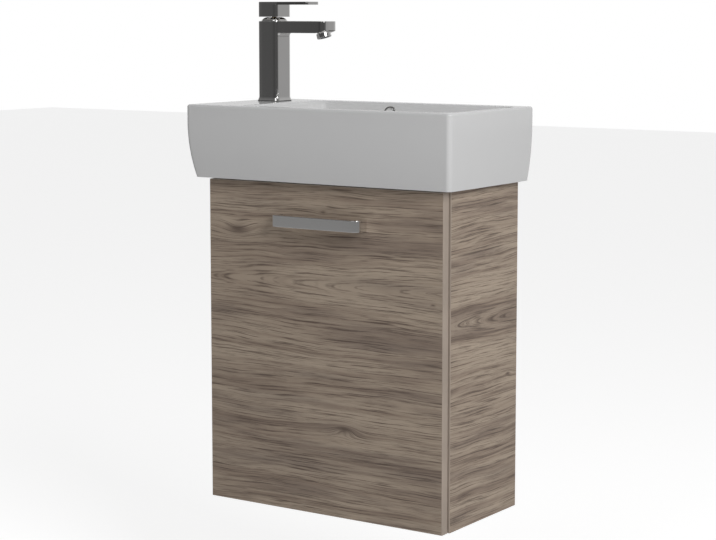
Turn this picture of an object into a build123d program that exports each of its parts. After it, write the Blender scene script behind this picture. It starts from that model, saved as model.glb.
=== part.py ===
"""Wall-hung vanity unit: one-door cabinet, hand basin, single-lever mixer, push-open waste, bottle trap.

Millimetres. X runs to the right, Y towards the wall, Z up. The wall is the plane Y = 0, and the origin is
the middle of the line between the basin's two wall bolts.
"""
import os
from math import atan2, cos, degrees, hypot, radians, sin, tan
from build123d import *

os.makedirs("parts", exist_ok=True)

# Small clearances that many fits share
running_gap = 0.05          # shaft in its hole, on the radius
cut = 1.0                   # how far a cutting tool runs past the face it opens

# Basin
basin_width = 500.0
basin_depth = 250.0
basin_height = 118.0
bolts_above_sole = 30.0
straight_wall = 28.0        # height of the upright part of the outer wall
side_taper = 8.5            # how far each side has come in at the sole
front_taper = 13.0
corner_radius = 8.0
rim_radius = 4.0
deck_width = 98.0           # flat tap deck on the left
rim_width = 14.0            # front and right rims
rear_rim_width = 22.0
bowl_corner = 24.0
bowl_depth = 78.0           # rim to the floor's outer edge
bowl_draft = 14.0           # inset of the front and side walls at that depth
bowl_rear_draft = 28.0
bowl_floor_radius = 16.0
floor_fall = 10.0           # from the floor's edge to the waste
ceramic = 12.0              # general wall thickness
deck_thickness = 14.0
rear_space_below_rim = 55.0 # roof of the space behind the bowl
sole_width = 36.0           # flat ring that sits on the cabinet
sole_thickness = 14.0
wall_bolt_spacing = 280.0
wall_bolt_hole_radius = 7.0
tap_hole_radius = 17.5

# Waste and overflow
waste_x = 0.0
waste_hole_radius = 23.0
waste_boss_radius = 35.0
flange_radius = 31.5
flange_thickness = 2.5
waste_tube_radius = 20.9
waste_tube_bore = 18.0
waste_tube_below_sole = 50.0
waste_seal_radius = 32.0
waste_seal_thickness = 5.0
waste_nut_across = 58.0
waste_nut_height = 8.0
plug_radius = 28.0
plug_thickness = 4.0
plug_travel = 8.0
overflow_below_rim = 17.5
overflow_radius = 12.5
overflow_bore = 8.5
duct_width = 28.0
duct_depth = 12.0
duct_wall = 6.0

# Cabinet
basin_overhang = 25.0       # basin beyond the cabinet on each side
basin_overhang_front = 45.0 # basin beyond the front edge of the cabinet's sides
cabinet_height = 528.0
board = 16.0
edging = 1.0
seal_thickness = 1.0
seal_width = 9.0
seal_inset = 3.0
rail_to_waste = 3.0         # rear edge of the front rail to the waste's seal
rail_dowel_inset = 8.0
rail_cam_inset = 12.0
rear_rail_height = 90.0
rail_screw_spacing = 320.0
rail_screw_hole_radius = 3.5
back_panel_thickness = 3.0
back_panel_inset = 18.0
back_panel_drop = 2.0       # below the shelf's top
groove_depth = 5.0
shelf_below_trap = 43.0     # room to take the trap's cup off
shelf_side_gap = 0.5
shelf_setback = 12.0
shelf_pin_radius = 2.5
shelf_pin_depth = 9.0
shelf_pin_reach = 9.0
spoon_thickness = 1.6
spoon_width = 12.0
dowel_radius = 4.0
dowel_depth_side = 10.0
dowel_depth_end = 20.0
cam_radius = 7.5
cam_depth = 12.5
cam_from_end = 24.0
cam_bolt_radius = 3.0
cam_bolt_depth = 11.0

# Door and handle
door_reveal = 2.5           # how much narrower the door is on each side
door_gap = 2.0              # door to the front edge of the sides
door_top_gap = 2.0
edge_round = 0.8
handle_below_door_top = 57.0
handle_centres = 160.0
handle_height = 18.5
handle_projection = 26.0
handle_thickness = 5.0
handle_foot = 8.0
handle_bend = 13.0
handle_screw_radius = 2.0
handle_screw_head = 4.0
handle_screw_bite = 12.0
bumper_radius = 4.5
bumper_thickness = 1.8
bumper_inset = 9.0

# Concealed hinges: pins are given from the door's left edge and its rear face
hinge_edge_distance = 90.0
cup_from_edge = 22.5
cup_radius = 17.5
cup_depth = 11.5
cup_wall = 1.0
cup_wing_thickness = 1.0
cup_wing_width = 14.0
cup_wing_offset = 6.0
cup_screw_spacing = 48.0
cup_pin = (9.5, -3.0)
arm_pin = (25.2, 6.4)
hinge_pin_radius = 1.2
link_bends = ((4.0, -4.6), (10.5, -3.5), (16.0, 2.0))    # bends of the cranked link, from the cup pin
link_width = 4.0
link_inner = 3.1            # half-height between the two straps of the link
link_outer = 4.9
ear_thickness = 1.5
plate_from_front = 37.0     # mounting plate screws behind the side's front edge
plate_screw_spacing = 32.0
plate_thickness = 3.0
saddle_height = 9.5
plate_half_width = 8.0
plate_beyond_screw = 7.0
saddle_before_screws = 12.0
arm_before_screws = 14.0
arm_behind_screws = 22.0
clamp_behind_screws = 12.0
arm_cheek_depth = 5.5
arm_eye_width = 6.5
press_gap = 0.2             # between pressed parts that slide on each other
clamp_screw_radius = 2.0
clamp_screw_head = 4.0
plate_screw_radius = 3.0
plate_screw_depth = 11.0
plate_screw_head = 5.0
cup_screw_radius = 1.5
cup_screw_bite = 9.0
cup_screw_head = 3.5
screw_head_height = 2.0
cup_rim = 1.5
cup_ear_half = 2.8
cup_ear_above_pin = 2.2

# Mixer tap
tap_from_wall = 68.0
tap_from_left = 45.0
tap_body_size = 40.0
tap_corner = 5.0
tap_flare_size = 45.0
tap_flare_height = 8.0
tap_seal_thickness = 1.0
spout_reach = 115.0         # tap axis to the spout's tip
spout_width = 38.0
spout_top = 133.0           # above the deck
spout_height = 19.5
spout_tip_radius = 8.0
spout_fillet = 7.0
spout_bore_radius = 6.0
jet_angle = 17.0            # degrees from straight down, away from the body
aerator_radius = 12.0
aerator_length = 14.0
aerator_from_tip = 15.0
aerator_below_spout = 7.5
cartridge_radius = 17.5
cartridge_height = 31.0
cartridge_below_top = 12.0
cartridge_nut_height = 10.0
pivot_below_top = 5.0
dome_radius = 17.6
dome_wall = 1.8
dome_hole_radius = 11.0
lever_gap = 7.0             # body top to the lever block
lever_block_height = 20.0
lever_block_wall = 1.8
lever_cavity = 8.5
lever_plate_thickness = 5.0
lever_reach = 80.0          # tap axis to the lever's tip
lever_tip_width = 35.0
spindle_radius = 4.0
lever_lift = 18.0           # degrees
lever_turn = (-45.0, 35.0)
hose_port_radius = 4.5
hose_port_depth = 12.0
hose_port_spacing = 14.0
stud_radius = 3.9
stud_below_deck = 62.0
horseshoe_radius = 24.0

# Bottle trap
trap_tube_radius = 16.0
trap_tube_wall = 1.6
trap_outlet_below_sole = 165.0
trap_body_radius = 28.0
trap_body_height = 50.0
trap_body_drop = 5.0        # middle of the body below the outlet
trap_cup_grip = 10.0        # screwed length of the cup on the body
trap_cup_radius = 31.0
trap_cup_height = 90.0
trap_wall = 2.5
trap_outlet_insert = 40.0   # pipe that goes into the sleeve in the wall
trap_bead = 0.8             # bead that stops it there
trap_nut_radius = 26.0
trap_nut_height = 24.0

# Places worked out from the sizes above
sole_z = -bolts_above_sole
rim_z = sole_z + basin_height
cabinet_top = sole_z - seal_thickness
cabinet_bottom = cabinet_top - cabinet_height
cabinet_width = basin_width - 2 * basin_overhang
side_depth = basin_depth - basin_overhang_front
side_inner = cabinet_width / 2 - board
carcass_front = -side_depth
board_front = carcass_front + edging
door_rear = carcass_front - door_gap
door_front = door_rear - board
door_half = cabinet_width / 2 - door_reveal
door_left = -door_half
door_top = sole_z - seal_thickness - door_top_gap
door_bottom = cabinet_bottom
handle_z = door_top - handle_below_door_top
bottom_top = cabinet_bottom + board
bowl_left = -basin_width / 2 + deck_width
bowl_right = basin_width / 2 - rim_width
bowl_front = -basin_depth + rim_width
bowl_rear = -rear_rim_width
floor_z = rim_z - bowl_depth
waste_floor_z = floor_z - floor_fall
waste_y = -basin_depth / 2
front_rail_rear = waste_y - waste_seal_radius - rail_to_waste
tap_x = -basin_width / 2 + tap_from_left
tap_y = -tap_from_wall
body_bottom = rim_z + tap_seal_thickness
body_top = rim_z + spout_top
pivot_z = body_top - pivot_below_top
block_bottom = body_top + lever_gap
block_top = block_bottom + lever_block_height
outlet_z = sole_z - trap_outlet_below_sole
waste_tube_end = sole_z - waste_tube_below_sole
trap_body_low = outlet_z - trap_body_height / 2 - trap_body_drop
trap_cup_low = trap_body_low + trap_cup_grip - trap_cup_height
shelf_z = trap_cup_low - shelf_below_trap - board
back_top_z = shelf_z + board - back_panel_drop
hinge_levels = (door_top - hinge_edge_distance, door_bottom + hinge_edge_distance)


# Shared shapes

def block(x0, x1, y0, y1, z0, z1):
    """A box between two opposite corners."""
    middle = ((x0 + x1) / 2, (y0 + y1) / 2, (z0 + z1) / 2)
    return Pos(*middle) * Box(abs(x1 - x0), abs(y1 - y0), abs(z1 - z0))


def rod(start, end, radius):
    """A round bar from one point to another."""
    run = Vector(*end) - Vector(*start)
    return extrude(Plane(origin=start, z_dir=run) * Circle(radius), run.length)


def pipe(start, end, outer, inner):
    """A round bar with a bore along all of it."""
    return rod(start, end, outer) - rod(start, end, inner)


def upright(x, y, z0, z1, radius):
    """A vertical round bar."""
    return rod((x, y, z0), (x, y, z1), radius)


def sleeve(x, y, z0, z1, outer, inner):
    """A vertical round bar with a bore."""
    return upright(x, y, z0, z1, outer) - upright(x, y, z0, z1, inner)


def rounded_face(x0, x1, y0, y1, z, radius):
    """A level rectangle with four round corners."""
    return Pos((x0 + x1) / 2, (y0 + y1) / 2, z) * RectangleRounded(x1 - x0, y1 - y0, radius)


def rounded_block(x0, x1, y0, y1, z0, z1, radius):
    """A box with round upright edges."""
    return extrude(rounded_face(x0, x1, y0, y1, z0, radius), z1 - z0)


def strap(start, end, width, low, high):
    """A flat bar with round ends between two plan points."""
    run_x = end[0] - start[0]
    run_y = end[1] - start[1]
    middle = Pos((start[0] + end[0]) / 2, (start[1] + end[1]) / 2, low)
    turn = Rot(0, 0, degrees(atan2(run_y, run_x)))
    return extrude(middle * turn * SlotCenterToCenter(hypot(run_x, run_y), width), high - low)


def hexagon(x, y, z0, z1, across_flats):
    """A vertical hexagonal bar."""
    return extrude(Pos(x, y, z0) * RegularPolygon(across_flats / 2, 6, major_radius=False), z1 - z0)


def save(name, *solids):
    """Write one sub-part, or a group of alike ones."""
    shape = solids[0] if len(solids) == 1 else Compound(children=list(solids))
    export_step(shape, f"parts/{name}.step")


# Cabinet joints: dowels and cams along the ends of each cross board.
# Each entry is the board's name, the plan and height place in its end, and the way the cam is bored.

front_rail_z = cabinet_top - board / 2
bottom_board_z = cabinet_bottom + board / 2
rear_rail_y = -board / 2
dowel_places = [
    (board_front + 30.0, bottom_board_z),
    (-35.0, bottom_board_z),
    (board_front + rail_dowel_inset, front_rail_z),
    (rear_rail_y, cabinet_top - 18.0),
    (rear_rail_y, cabinet_top - rear_rail_height + 14.0),
]
cam_places = [
    (board_front / 2, bottom_board_z, (0, 0, -1)),
    (front_rail_rear - rail_cam_inset, front_rail_z, (0, 0, -1)),
    (rear_rail_y, cabinet_top - rear_rail_height / 2, (0, -1, 0)),
]


def cam_rod(side, place, radius, depth, lift=0.0):
    """A round bar in the place of a cam housing, from the board's face inwards."""
    y, z, face = place
    x = side * (side_inner - cam_from_end)
    outer = board / 2 - lift
    start = (x, y + face[1] * outer, z + face[2] * outer)
    inner = outer - depth
    end = (x, y + face[1] * inner, z + face[2] * inner)
    return rod(start, end, radius)


def cam_bolt_rod(side, place, radius, reach_in, reach_out):
    """A round bar along X through the joint between a side and a cross board."""
    y, z = place[0], place[1]
    return rod((side * (side_inner - reach_in), y, z), (side * (side_inner + reach_out), y, z), radius)


def joint_holes_in_side(side):
    """Dowel and cam bolt holes in the inner face of one side."""
    holes = [cam_bolt_rod(side, place, dowel_radius, 0, dowel_depth_side) for place in dowel_places]
    holes += [cam_bolt_rod(side, place, cam_bolt_radius, 0, cam_bolt_depth) for place in cam_places]
    return holes


def joint_holes_in_board(level_or_plan):
    """Dowel, bolt and cam holes in both ends of the cross board that passes the test."""
    holes = []
    for side in (-1, 1):
        for place in dowel_places:
            if level_or_plan(place):
                holes.append(cam_bolt_rod(side, place, dowel_radius, dowel_depth_end, 0))
        for place in cam_places:
            if level_or_plan(place):
                holes.append(cam_bolt_rod(side, place, dowel_radius, cam_from_end, 0))
                holes.append(cam_rod(side, place, cam_radius, cam_depth))
    return holes


def make_joint_hardware():
    """Wooden dowels, steel cam bolts and zinc cam housings."""
    dowels = []
    bolts = []
    housings = []
    for side in (-1, 1):
        for place in dowel_places:
            reach_in = dowel_depth_end - 1.0
            reach_out = dowel_depth_side - 1.0
            dowels.append(cam_bolt_rod(side, place, dowel_radius - running_gap, reach_in, reach_out))
        for place in cam_places:
            neck = cam_bolt_rod(side, place, cam_bolt_radius - running_gap, cam_from_end - 4.0, cam_bolt_depth - 1.0)
            head = cam_bolt_rod(side, place, cam_bolt_radius + 0.6, cam_from_end - 1.0, 4.0 - cam_from_end)
            bolts.append(neck + head)
            housing = cam_rod(side, place, cam_radius - running_gap, cam_depth - 0.5, lift=0.3)
            slot = cam_bolt_rod(side, place, cam_bolt_radius + 0.9, cam_from_end + 1.0, 0)
            driver = cam_rod(side, place, 2.2, 2.0, lift=0.3)
            housings.append(housing - slot - driver)
    save("assembly_dowels", *dowels)
    save("cam_bolts", *bolts)
    save("cam_housings", *housings)


# Cabinet boards

def hinge_plate_screw_places():
    """Height of each mounting plate screw."""
    return [level + half for level in hinge_levels for half in (-plate_screw_spacing / 2, plate_screw_spacing / 2)]


def shelf_pin_places():
    """Plan place of each shelf pin along the side."""
    return (board_front + 30.0, -40.0)


pin_z = shelf_z - spoon_thickness - shelf_pin_radius
plate_screw_y = carcass_front + plate_from_front
groove_rear = -back_panel_inset
groove_front = groove_rear - back_panel_thickness - 0.2


def make_side(side, name):
    """One side board with its system holes and the groove for the back panel."""
    panel = block(side * side_inner, side * cabinet_width / 2, board_front, 0, cabinet_bottom, cabinet_top)
    tools = joint_holes_in_side(side)
    tools.append(block(side * (side_inner - cut), side * (side_inner + groove_depth), groove_front, groove_rear,
                       bottom_top - groove_depth, cabinet_top + cut))
    for y in shelf_pin_places():
        tools.append(rod((side * side_inner, y, pin_z), (side * (side_inner + shelf_pin_depth), y, pin_z),
                         shelf_pin_radius))
    if side < 0:
        for z in hinge_plate_screw_places():
            tools.append(rod((-side_inner, plate_screw_y, z), (-side_inner - plate_screw_depth, plate_screw_y, z),
                             plate_screw_radius))
    save(name, panel - tools)


def make_bottom_panel():
    """Bottom board between the sides, grooved for the back panel."""
    panel = block(-side_inner, side_inner, board_front, 0, cabinet_bottom, bottom_top)
    holes = joint_holes_in_board(lambda place: place[1] == bottom_board_z)
    groove = block(-side_inner - cut, side_inner + cut, groove_front, groove_rear,
                   bottom_top - groove_depth, bottom_top + cut)
    save("bottom_panel", panel - holes - groove)


def make_front_rail():
    """Flat rail across the top, behind the door."""
    rail = block(-side_inner, side_inner, board_front, front_rail_rear,
                 cabinet_top - board, cabinet_top)
    holes = joint_holes_in_board(lambda place: place[1] == front_rail_z)
    save("top_front_rail", rail - holes)


def make_rear_rail():
    """Upright hanging rail against the wall, with two screw holes."""
    rail = block(-side_inner, side_inner, -board, 0, cabinet_top - rear_rail_height, cabinet_top)
    holes = joint_holes_in_board(lambda place: place[0] == rear_rail_y)
    screw_z = cabinet_top - rear_rail_height / 2
    for x in (-rail_screw_spacing / 2, rail_screw_spacing / 2):
        holes.append(rod((x, -board - cut, screw_z), (x, cut, screw_z), rail_screw_hole_radius))
    save("top_rear_rail", rail - holes)


def make_back_panel():
    """Thin back panel behind the shelf, let into grooves; the space above it is open for the plumbing."""
    reach = side_inner + groove_depth - 0.5
    panel = block(-reach, reach, groove_front + 0.1, groove_rear - 0.1, bottom_top - groove_depth + 0.5, back_top_z)
    save("back_panel", panel)


def make_shelf():
    """Loose shelf on four spoon pins."""
    half = side_inner - shelf_side_gap
    front = board_front + shelf_setback
    rear = groove_front - 1.0
    save("shelf", block(-half, half, front + edging, rear, shelf_z, shelf_z + board))
    pins = []
    for side in (-1, 1):
        for y in shelf_pin_places():
            stem = rod((side * (side_inner - shelf_pin_reach), y, pin_z),
                       (side * (side_inner + shelf_pin_depth - 1.0), y, pin_z), shelf_pin_radius - running_gap)
            spoon = block(side * (side_inner - 1.5 - spoon_width), side * (side_inner - 0.2),
                          y - spoon_width / 2, y + spoon_width / 2, shelf_z - spoon_thickness, shelf_z)
            web = block(side * (side_inner - shelf_pin_reach), side * (side_inner - 0.2),
                        y - 1.0, y + 1.0, pin_z, shelf_z - spoon_thickness)
            pins.append(stem + spoon + web)
    save("shelf_pins", *pins)


def make_carcass_edging():
    """Plastic edge bands on the front edges of the sides, the bottom, the front rail and the shelf."""
    bands = []
    for side in (-1, 1):
        band = block(side * side_inner, side * cabinet_width / 2, carcass_front, board_front,
                     cabinet_bottom, cabinet_top)
        outer = band.edges().filter_by(Axis.Z).sort_by(Axis.Y)[:2]
        bands.append(fillet(outer, edge_round))
    for z in (cabinet_bottom, cabinet_top - board):
        bands.append(block(-side_inner, side_inner, carcass_front, board_front, z, z + board))
    half = side_inner - shelf_side_gap
    front = board_front + shelf_setback
    bands.append(block(-half, half, front, front + edging, shelf_z, shelf_z + board))
    save("carcass_edge_bands", *bands)


def make_sealing_strip():
    """Soft strip round the top of the cabinet that the basin sits on."""
    outer_x = cabinet_width / 2 - seal_inset
    front = carcass_front + seal_inset
    rear = -seal_inset
    ring = block(-outer_x, outer_x, front, rear, cabinet_top, sole_z)
    hole = block(-outer_x + seal_width, outer_x - seal_width, front + seal_width, rear - seal_width,
                 cabinet_top - cut, sole_z + cut)
    save("sealing_strip", ring - hole)


# Door and handle

def handle_post_places():
    """Centre of each handle foot across the door."""
    return (-handle_centres / 2, handle_centres / 2)


def make_door():
    """Door board bored for the hinge cups and the handle, with a band on each edge."""
    panel = block(door_left + edging, door_half - edging, door_front, door_rear,
                  door_bottom + edging, door_top - edging)
    tools = []
    for level in hinge_levels:
        cup_x = door_left + cup_from_edge
        tools.append(rod((cup_x, door_rear + cut, level), (cup_x, door_rear - cup_depth, level), cup_radius))
        for half in (-cup_screw_spacing / 2, cup_screw_spacing / 2):
            x = cup_x + cup_wing_offset
            tools.append(rod((x, door_rear + cut, level + half), (x, door_rear - cup_screw_bite - cut, level + half),
                             cup_screw_radius))
    for x in handle_post_places():
        tools.append(rod((x, door_rear + cut, handle_z), (x, door_front - cut, handle_z), handle_screw_radius + 0.3))
    save("door_panel", panel - tools)
    bands = []
    for side in (-1, 1):
        band = block(side * (door_half - edging), side * door_half, door_front, door_rear, door_bottom, door_top)
        outer = band.edges().filter_by(Axis.Z).sort_by(lambda edge: abs(edge.center().X))[-2:]
        bands.append(fillet(outer, edge_round))
    for z0, z1 in ((door_bottom, door_bottom + edging), (door_top - edging, door_top)):
        bands.append(block(door_left + edging, door_half - edging, door_front, door_rear, z0, z1))
    save("door_edge_bands", *bands)


def make_handle():
    """Flat bar bent twice, with a foot at each end that takes a screw from behind the door."""
    half = handle_centres / 2 + handle_foot / 2
    low = handle_z - handle_height / 2
    high = handle_z + handle_height / 2
    front = door_front - handle_projection
    outer = block(-half, half, front, door_front, low, high)
    bends = outer.edges().filter_by(Axis.Z).sort_by(Axis.Y)[:2]
    outer = fillet(bends, handle_bend)
    inner_half = half - handle_foot
    inner = block(-inner_half, inner_half, front + handle_thickness, door_front + cut, low - cut, high + cut)
    bends = inner.edges().filter_by(Axis.Z).sort_by(Axis.Y)[:2]
    inner = fillet(bends, handle_bend - handle_thickness)
    bow = outer - inner
    for x in handle_post_places():
        bow -= rod((x, door_front + cut, handle_z), (x, door_front - handle_screw_bite, handle_z),
                   handle_screw_radius)
    save("handle", bow)
    screws = []
    for x in handle_post_places():
        shank = rod((x, door_rear, handle_z), (x, door_front - handle_screw_bite + 1.0, handle_z),
                    handle_screw_radius - running_gap)
        head = rod((x, door_rear, handle_z), (x, door_rear + 2.2, handle_z), handle_screw_head)
        slot = block(x - 2.5, x + 2.5, door_rear + 1.4, door_rear + 2.2 + cut, handle_z - 0.5, handle_z + 0.5)
        screws.append(shank + head - slot)
    save("handle_screws", *screws)


def make_bumpers():
    """Soft stops on the door's inner face, at the corners away from the hinges."""
    x = door_half - bumper_inset
    pads = []
    for z in (door_bottom + bumper_inset, door_top - bumper_inset - board):
        pads.append(rod((x, door_rear, z), (x, door_rear + bumper_thickness, z), bumper_radius))
    save("door_bumpers", *pads)


# Concealed hinges

def hinge_place(pin):
    """Plan place of a hinge pin."""
    return (door_left + pin[0], door_rear + pin[1])


cup_pin_place = hinge_place(cup_pin)
arm_pin_place = hinge_place(arm_pin)
link_places = [cup_pin_place]
link_places += [(cup_pin_place[0] + bend[0], cup_pin_place[1] + bend[1]) for bend in link_bends]
link_places += [arm_pin_place]
cheek_inner = link_outer + press_gap
cheek_outer = cheek_inner + ear_thickness
saddle_top_x = -side_inner + plate_thickness + saddle_height
arm_web_x = saddle_top_x + press_gap
arm_front_y = plate_screw_y - arm_before_screws
arm_rear_y = plate_screw_y + arm_behind_screws
clamp_screw_y = plate_screw_y + clamp_behind_screws


def make_cup(level):
    """Pressed cup with two ears for its pin and a wing above and below for the screws."""
    x = door_left + cup_from_edge
    y_floor = door_rear - cup_depth + press_gap
    shell = rod((x, door_rear, level), (x, y_floor, level), cup_radius - running_gap)
    shell -= rod((x, door_rear + cut, level), (x, y_floor + cup_wall, level), cup_radius - cup_wall)
    wing_x = x + cup_wing_offset
    wing = block(wing_x - cup_wing_width / 2, wing_x + cup_wing_width / 2, door_rear, door_rear + cup_wing_thickness,
                 level - cup_screw_spacing / 2 - cup_wing_offset, level + cup_screw_spacing / 2 + cup_wing_offset)
    rim = rod((x, door_rear, level), (x, door_rear + cup_wing_thickness, level), cup_radius + cup_rim)
    wing = wing + rim - rod((x, door_rear - cut, level), (x, door_rear + 2 * cut, level), cup_radius - cup_wall)
    ears = []
    for side in (-1, 1):
        ears.append(block(cup_pin_place[0] - cup_ear_half, cup_pin_place[0] + cup_ear_half,
                          y_floor + cup_wall / 2, cup_pin_place[1] + cup_ear_above_pin,
                          level + side * cheek_inner, level + side * cheek_outer))
    cup = shell + wing + ears
    cup -= upright(*cup_pin_place, level - cheek_outer - cut, level + cheek_outer + cut, hinge_pin_radius)
    for half in (-cup_screw_spacing / 2, cup_screw_spacing / 2):
        cup -= rod((wing_x, door_rear - cut, level + half), (wing_x, door_rear + 2 * cut, level + half),
                   cup_screw_radius + press_gap)
    return cup


def make_link(level):
    """Cranked link: two bent straps joined by a web, with an eye on each pin."""
    straps = []
    for side in (-1, 1):
        low, high = sorted((level + side * link_inner, level + side * link_outer))
        for start, end in zip(link_places, link_places[1:]):
            straps.append(strap(start, end, link_width, low, high))
    web = strap(link_places[2], link_places[3], 1.6, level - link_inner - 0.5, level + link_inner + 0.5)
    link = straps[0] + straps[1:] + web
    for place in (cup_pin_place, arm_pin_place):
        link -= upright(*place, level - link_outer - cut, level + link_outer + cut, hinge_pin_radius)
    return link


def make_arm(level):
    """Pressed channel from the mounting plate to the arm pin."""
    web_face = arm_web_x + ear_thickness
    arm = block(arm_web_x, web_face, arm_front_y, arm_rear_y, level - cheek_outer, level + cheek_outer)
    nose = (arm_web_x - arm_cheek_depth / 3, arm_front_y + arm_cheek_depth / 3)
    for side in (-1, 1):
        low, high = sorted((level + side * cheek_inner, level + side * cheek_outer))
        arm += block(arm_web_x - arm_cheek_depth, web_face, arm_front_y, arm_rear_y, low, high)
        arm += strap(arm_pin_place, nose, arm_eye_width, low, high)
    arm -= upright(*arm_pin_place, level - cheek_outer - cut, level + cheek_outer + cut, hinge_pin_radius)
    arm -= rod((arm_web_x - cut, clamp_screw_y, level), (web_face + cut, clamp_screw_y, level),
               clamp_screw_radius + 2 * press_gap)
    return arm


def make_mounting_plate(level):
    """Cross plate screwed to the side, with the saddle that the arm slides over."""
    wing_top_x = -side_inner + plate_thickness
    wing_half = plate_screw_spacing / 2 + plate_beyond_screw
    wings = block(-side_inner, wing_top_x, plate_screw_y - plate_half_width, plate_screw_y + plate_half_width,
                  level - wing_half, level + wing_half)
    saddle = block(-side_inner, saddle_top_x, plate_screw_y - saddle_before_screws, arm_rear_y - 2 * cut,
                   level - link_outer, level + link_outer)
    plate = wings + saddle
    plate -= rod((wing_top_x, clamp_screw_y, level), (saddle_top_x + cut, clamp_screw_y, level),
                 clamp_screw_radius + running_gap)
    for half in (-plate_screw_spacing / 2, plate_screw_spacing / 2):
        plate -= rod((-side_inner - cut, plate_screw_y, level + half), (wing_top_x + cut, plate_screw_y, level + half),
                     plate_screw_radius)
    return plate


def slotted_screw(head_face, tip, radius, head_radius):
    """Screw along the run from its head's seat to its tip, with a slot across the head."""
    run = (Vector(*tip) - Vector(*head_face)).normalized()
    head_top = tuple(Vector(*head_face) - run * screw_head_height)
    screw = rod(head_face, tip, radius) + rod(head_face, head_top, head_radius)
    slot_place = Plane(origin=head_top, x_dir=(0, 0, 1), z_dir=run)
    return screw - slot_place * Box(head_radius * 1.3, screw_head_height / 3, screw_head_height)


def make_hinge_screws():
    """Plate screws and clamping screws in the side, cup screws in the door."""
    wing_top_x = -side_inner + plate_thickness
    plate_screws = []
    for z in hinge_plate_screw_places():
        plate_screws.append(slotted_screw((wing_top_x, plate_screw_y, z),
                                          (-side_inner - plate_screw_depth + cut, plate_screw_y, z),
                                          plate_screw_radius - running_gap, plate_screw_head))
    web_face = arm_web_x + ear_thickness
    clamp_screws = []
    cup_screws = []
    wing_x = door_left + cup_from_edge + cup_wing_offset
    wing_face = door_rear + cup_wing_thickness
    for level in hinge_levels:
        clamp_screws.append(slotted_screw((web_face, clamp_screw_y, level), (wing_top_x + cut, clamp_screw_y, level),
                                          clamp_screw_radius, clamp_screw_head))
        for half in (-cup_screw_spacing / 2, cup_screw_spacing / 2):
            cup_screws.append(slotted_screw((wing_x, wing_face, level + half),
                                            (wing_x, door_rear - cup_screw_bite, level + half),
                                            cup_screw_radius - running_gap, cup_screw_head))
    save("hinge_plate_screws", *plate_screws)
    save("hinge_clamp_screws", *clamp_screws)
    save("hinge_cup_screws", *cup_screws)


def make_hinges():
    """Both hinges: cup and pin on the door, link between, arm and plate on the side."""
    save("hinge_cups", *[make_cup(level) for level in hinge_levels])
    save("hinge_links", *[make_link(level) for level in hinge_levels])
    save("hinge_arms", *[make_arm(level) for level in hinge_levels])
    save("hinge_mounting_plates", *[make_mounting_plate(level) for level in hinge_levels])
    thin = hinge_pin_radius - running_gap
    cup_pins = [upright(*cup_pin_place, level - cheek_outer, level + cheek_outer, thin) for level in hinge_levels]
    arm_pins = [upright(*arm_pin_place, level - cheek_outer, level + cheek_outer, thin) for level in hinge_levels]
    save("hinge_cup_pins", *cup_pins)
    save("hinge_arm_pins", *arm_pins)
    make_hinge_screws()


# Basin

def basin_outline(below_rim):
    """Outer wall at one level: round front corners, flat against the wall at the rear."""
    share = max(0.0, below_rim - straight_wall) / (basin_height - straight_wall)
    half = basin_width / 2 - side_taper * share ** 2
    front = -basin_depth + front_taper * share ** 2
    face = Pos(0, front / 2, rim_z - below_rim) * Rectangle(2 * half, -front)
    front_corners = face.vertices().sort_by(Axis.Y)[:2]
    return fillet(front_corners, corner_radius)


def basin_body():
    """Solid outer form with an eased rim."""
    upper = extrude(basin_outline(straight_wall), straight_wall)
    top_edges = upper.edges().group_by(Axis.Z)[-1]
    eased = [edge for edge in top_edges if edge.center().Y < -cut]
    upper = fillet(eased, rim_radius)
    steps = 4
    levels = [straight_wall + (basin_height - straight_wall) * i / steps for i in range(steps + 1)]
    lower = loft([basin_outline(level) for level in levels])
    return upper + lower


def bowl_tool():
    """Space of the bowl: drafted walls, a soft floor edge, and a floor that falls to the waste."""
    top = rounded_face(bowl_left, bowl_right, bowl_front, bowl_rear, rim_z, bowl_corner)
    foot = rounded_face(bowl_left + bowl_draft, bowl_right - bowl_draft, bowl_front + bowl_draft,
                        bowl_rear - bowl_rear_draft, floor_z, bowl_corner)
    walls = loft([foot, top], ruled=True)
    floor_edges = walls.edges().group_by(Axis.Z)[0]
    walls = fillet(floor_edges, bowl_floor_radius)
    inset = bowl_floor_radius + 2.0
    edge = rounded_face(bowl_left + bowl_draft + inset, bowl_right - bowl_draft - inset,
                        bowl_front + bowl_draft + inset, bowl_rear - bowl_rear_draft - inset,
                        floor_z, bowl_corner)
    reach = flange_radius + 1.5
    low = rounded_face(waste_x - reach, waste_x + reach, waste_y - reach, waste_y + reach,
                       waste_floor_z, reach - 0.1)
    floor = loft([low, edge], ruled=True)
    return walls + floor + extrude(top, rim_radius + cut)


def wall_y(below_rim):
    """Plan place of the bowl's rear wall at one level."""
    return bowl_rear - bowl_rear_draft * below_rim / bowl_depth


overflow_z = rim_z - overflow_below_rim
overflow_y = wall_y(overflow_below_rim)
rear_slope = atan2(bowl_rear_draft, bowl_depth)
overflow_out = Vector(0, -cos(rear_slope), sin(rear_slope))


def along_overflow(distance):
    """Point on the overflow's axis, measured out of the rear wall into the bowl."""
    return (waste_x, overflow_y + overflow_out.Y * distance, overflow_z + overflow_out.Z * distance)


duct_rear = -8.0
duct_low = sole_z + duct_wall
duct_high = duct_low + duct_depth


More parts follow.
